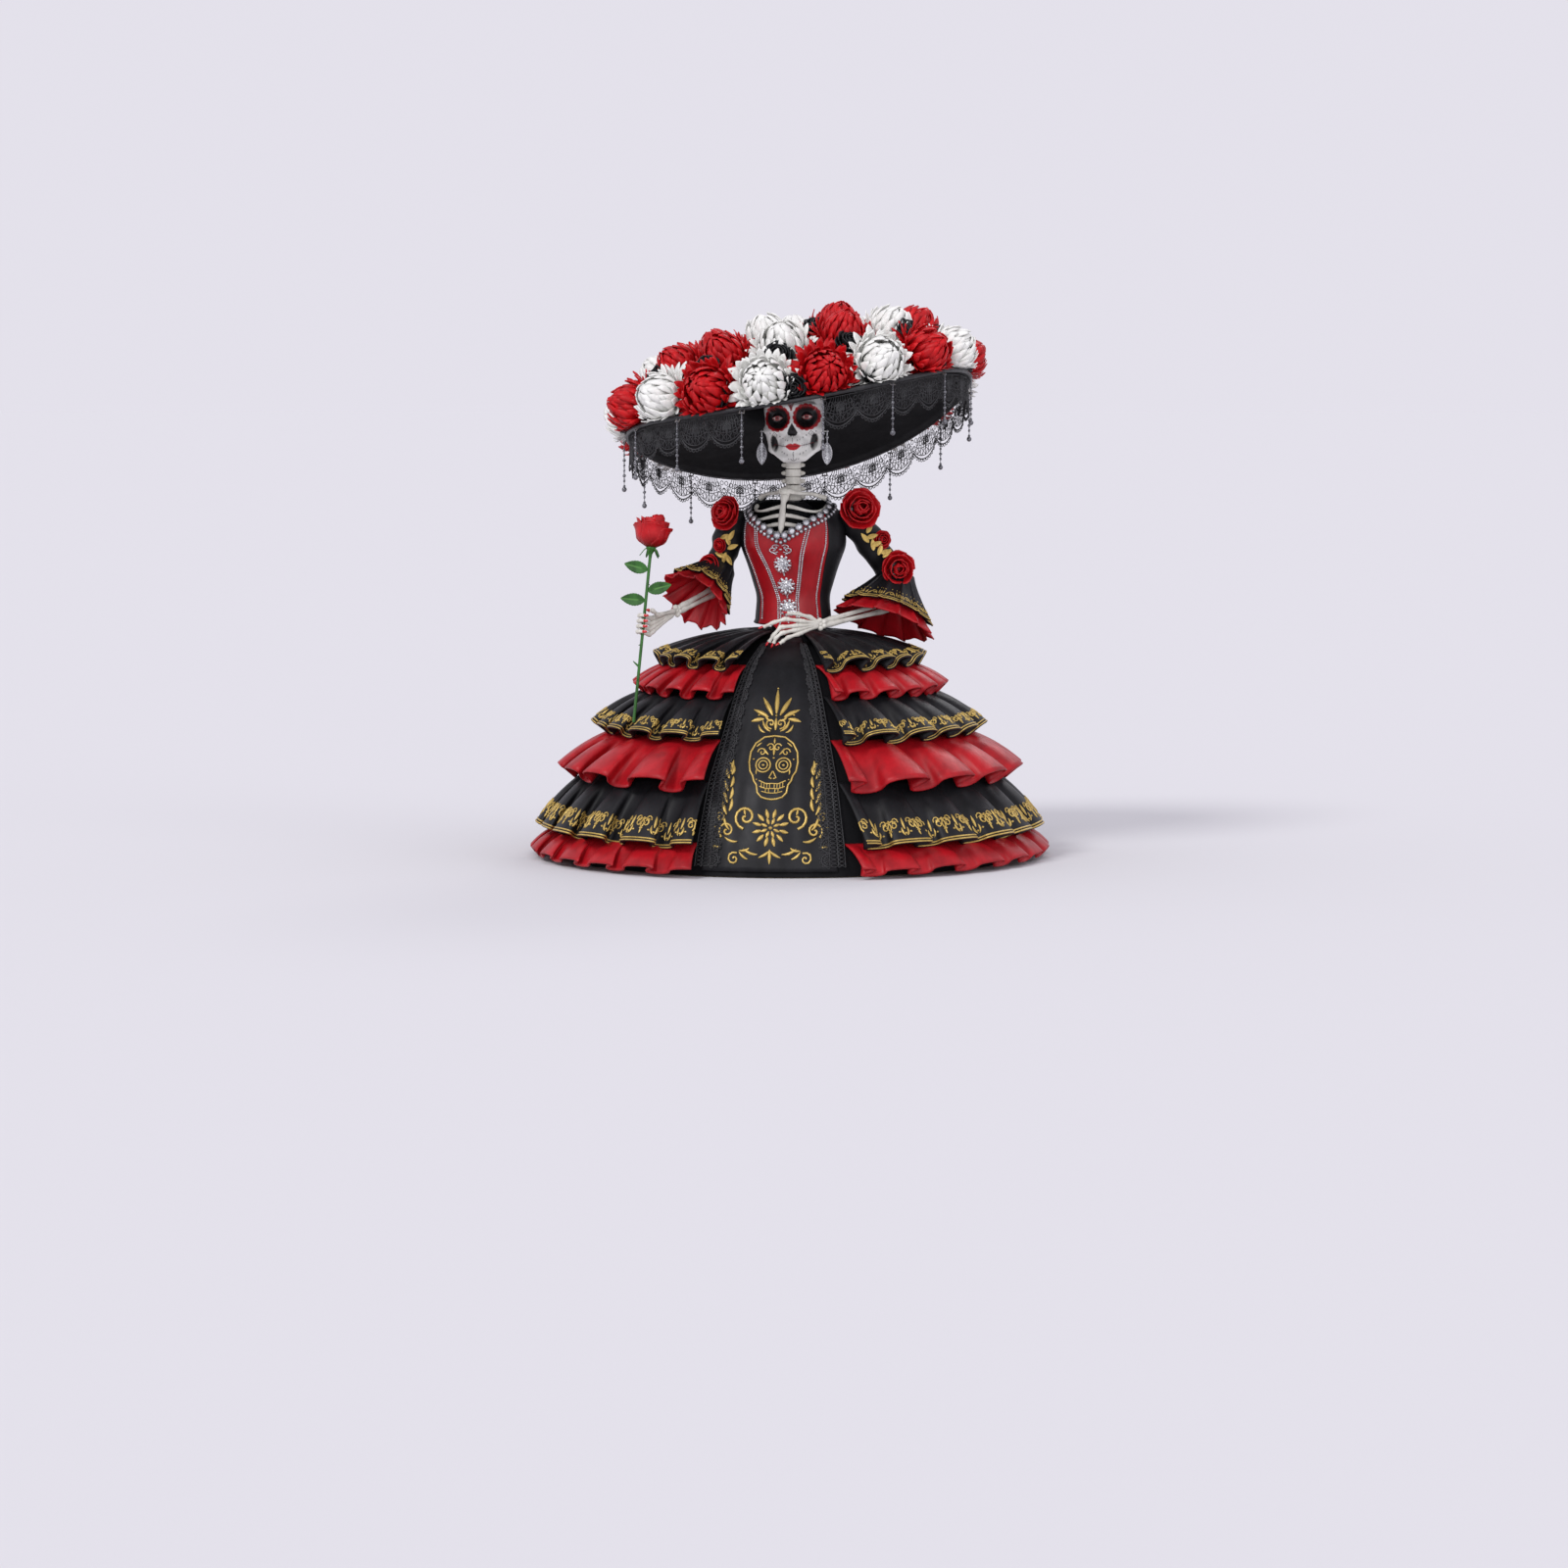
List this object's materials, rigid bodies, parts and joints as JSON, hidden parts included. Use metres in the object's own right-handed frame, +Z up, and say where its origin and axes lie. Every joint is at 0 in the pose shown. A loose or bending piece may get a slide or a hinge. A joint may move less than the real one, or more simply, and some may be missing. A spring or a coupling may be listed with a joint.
{
  "type": "papier-mache catrina figure",
  "caption": "Standing skeleton lady in a flounced red and black dress, with a wide flower-covered hat and a rose in her hand.",
  "frame": {"origin": "middle of the underside of the base", "axes": "+Z up, -Y is the way she faces, +X towards her left hand"},
  "size_m": [0.4494, 0.4417, 0.4737],
  "materials": {
    "base_board": "unpainted board",
    "armature_wood": "raw",
    "skirt_paper": "matt black paint over pasted paper",
    "panel_black": "satin black paint with painted gold ornament",
    "lace_black": "stiffened cotton lace",
    "flounce_black": "satin black paint with gold scrolls",
    "flounce_red": "satin red lacquer",
    "dress_black": "satin black paint",
    "bodice_red": "satin red lacquer",
    "silver_trim": "silver beads and cut stones",
    "bone": "satin off-white paint with grey shading",
    "face_paint": "painted sugar-skull face",
    "eye_paint": "painted and varnished",
    "hair_black": "satin black paint",
    "rose_red": "varnished paper petals",
    "leaf_gold": "gold paint",
    "hat_black": "matt black paint",
    "hat_binding": "rolled satin edge",
    "hook_wire": "drawn wire",
    "mum_red": "varnished paper petals",
    "mum_white": "painted paper petals",
    "rose_black": "painted paper petals",
    "stem_green": "satin green paint over wire",
    "earring_silver": "pierced and polished",
    "pendant_bead": "smoked beads"
  },
  "bodies": {
    "figure": {"base_disc": "base_board", "armature": "armature_wood", "skirt_shell": "skirt_paper", "front_panel": "panel_black", "panel_lace": "lace_black", "ruffle_1_black": "flounce_black", "ruffle_2_red": "flounce_red", "ruffle_3_black": "flounce_black", "ruffle_4_red": "flounce_red", "ruffle_5_black": "flounce_black", "ruffle_6_red": "flounce_red", "torso_core": "dress_black", "bodice_back": "dress_black", "bodice_front": "bodice_red", "bodice_trims": "silver_trim", "brooches": "silver_trim", "collar": "silver_trim", "rib_cage": "bone", "neck_vertebrae": "bone", "skull": "face_paint", "eyes": "eye_paint", "hair": "hair_black", "sleeve_left": "dress_black", "sleeve_right": "dress_black", "cuff_left_black": "flounce_black", "cuff_left_red": "flounce_red", "cuff_right_black": "flounce_black", "cuff_right_red": "flounce_red", "hand_left": "bone", "hand_right": "bone", "sleeve_roses": "rose_red", "sleeve_leaves": "leaf_gold"},
    "hat": {"hat_brim": "hat_black", "flower_mound": "hat_black", "brim_binding": "hat_binding", "brim_lace": "lace_black", "pendant_hooks": "hook_wire", "red_chrysanthemums": "mum_red", "white_chrysanthemums": "mum_white", "black_roses": "rose_black"},
    "rose": {"rose_bloom": "rose_red", "rose_stem": "stem_green", "rose_leaves": "stem_green"},
    "earring_left": {"earring_left": "earring_silver"},
    "earring_right": {"earring_right": "earring_silver"},
    "pendant_01": {"pendant_01": "pendant_bead"},
    "pendant_02": {"pendant_02": "pendant_bead"},
    "pendant_03": {"pendant_03": "pendant_bead"},
    "pendant_04": {"pendant_04": "pendant_bead"},
    "pendant_05": {"pendant_05": "pendant_bead"},
    "pendant_06": {"pendant_06": "pendant_bead"},
    "pendant_07": {"pendant_07": "pendant_bead"},
    "pendant_08": {"pendant_08": "pendant_bead"},
    "pendant_09": {"pendant_09": "pendant_bead"},
    "pendant_10": {"pendant_10": "pendant_bead"},
    "pendant_11": {"pendant_11": "pendant_bead"},
    "pendant_12": {"pendant_12": "pendant_bead"},
    "pendant_13": {"pendant_13": "pendant_bead"},
    "pendant_14": {"pendant_14": "pendant_bead"},
    "pendant_15": {"pendant_15": "pendant_bead"}
  },
  "joints": [
    {"name": "hat_lift", "type": "slide", "parent": "figure", "child": "hat", "axis": [0, 0, 1], "range_m": [0, 0.15]},
    {"name": "rose_lift", "type": "slide", "parent": "figure", "child": "rose", "axis": [0.0957, 0.1675, 0.9812], "range_m": [0, 0.012]},
    {"name": "earring_left_swing", "type": "hinge", "parent": "figure", "child": "earring_left", "pos_m": [0.0355, 0.002, 0.366], "axis": [1, 0, 0], "range_deg": [-40, 40]},
    {"name": "earring_right_swing", "type": "hinge", "parent": "figure", "child": "earring_right", "pos_m": [-0.0275, 0.002, 0.366], "axis": [1, 0, 0], "range_deg": [-40, 40]},
    {"name": "pendant_01_swing", "type": "hinge", "parent": "hat", "child": "pendant_01", "pos_m": [0.02731, -0.16221, 0.39398], "axis": [-0.9934, -0.1145, 0], "range_deg": [0, 35]},
    {"name": "pendant_02_swing", "type": "hinge", "parent": "hat", "child": "pendant_02", "pos_m": [0.08533, -0.1397, 0.40619], "axis": [-0.8613, -0.5081, 0], "range_deg": [0, 35]},
    {"name": "pendant_03_swing", "type": "hinge", "parent": "hat", "child": "pendant_03", "pos_m": [0.13002, -0.09476, 0.41485], "axis": [-0.5677, -0.8233, 0], "range_deg": [0, 35]},
    {"name": "pendant_04_swing", "type": "hinge", "parent": "hat", "child": "pendant_04", "pos_m": [0.15462, -0.03623, 0.41344], "axis": [-0.1652, -0.9863, 0], "range_deg": [0, 35]},
    {"name": "pendant_05_swing", "type": "hinge", "parent": "hat", "child": "pendant_05", "pos_m": [0.15555, 0.02505, 0.39864], "axis": [0.2467, -0.9691, 0], "range_deg": [0, 35]},
    {"name": "pendant_06_swing", "type": "hinge", "parent": "hat", "child": "pendant_06", "pos_m": [0.13261, 0.07866, 0.37326], "axis": [0.5945, -0.8041, 0], "range_deg": [0, 35]},
    {"name": "pendant_07_swing", "type": "hinge", "parent": "hat", "child": "pendant_07", "pos_m": [0.08903, 0.11637, 0.34553], "axis": [0.8515, -0.5243, 0], "range_deg": [0, 35]},
    {"name": "pendant_08_swing", "type": "hinge", "parent": "hat", "child": "pendant_08", "pos_m": [0.03138, 0.13289, 0.32518], "axis": [0.9893, -0.146, 0], "range_deg": [0, 35]},
    {"name": "pendant_09_swing", "type": "hinge", "parent": "hat", "child": "pendant_09", "pos_m": [-0.03099, 0.12607, 0.3185], "axis": [0.9587, 0.2846, 0], "range_deg": [0, 35]},
    {"name": "pendant_10_swing", "type": "hinge", "parent": "hat", "child": "pendant_10", "pos_m": [-0.0872, 0.09678, 0.32542], "axis": [0.7457, 0.6663, 0], "range_deg": [0, 35]},
    {"name": "pendant_11_swing", "type": "hinge", "parent": "hat", "child": "pendant_11", "pos_m": [-0.12687, 0.04899, 0.34031], "axis": [0.407, 0.9134, 0], "range_deg": [0, 35]},
    {"name": "pendant_12_swing", "type": "hinge", "parent": "hat", "child": "pendant_12", "pos_m": [-0.14238, -0.01025, 0.35589], "axis": [0.0115, 0.9999, 0], "range_deg": [0, 35]},
    {"name": "pendant_13_swing", "type": "hinge", "parent": "hat", "child": "pendant_13", "pos_m": [-0.13073, -0.07127, 0.36752], "axis": [-0.3882, 0.9216, 0], "range_deg": [0, 35]},
    {"name": "pendant_14_swing", "type": "hinge", "parent": "hat", "child": "pendant_14", "pos_m": [-0.09428, -0.12316, 0.37531], "axis": [-0.7293, 0.6842, 0], "range_deg": [0, 35]},
    {"name": "pendant_15_swing", "type": "hinge", "parent": "hat", "child": "pendant_15", "pos_m": [-0.04012, -0.15592, 0.38274], "axis": [-0.9444, 0.3289, 0], "range_deg": [0, 35]}
  ]
}
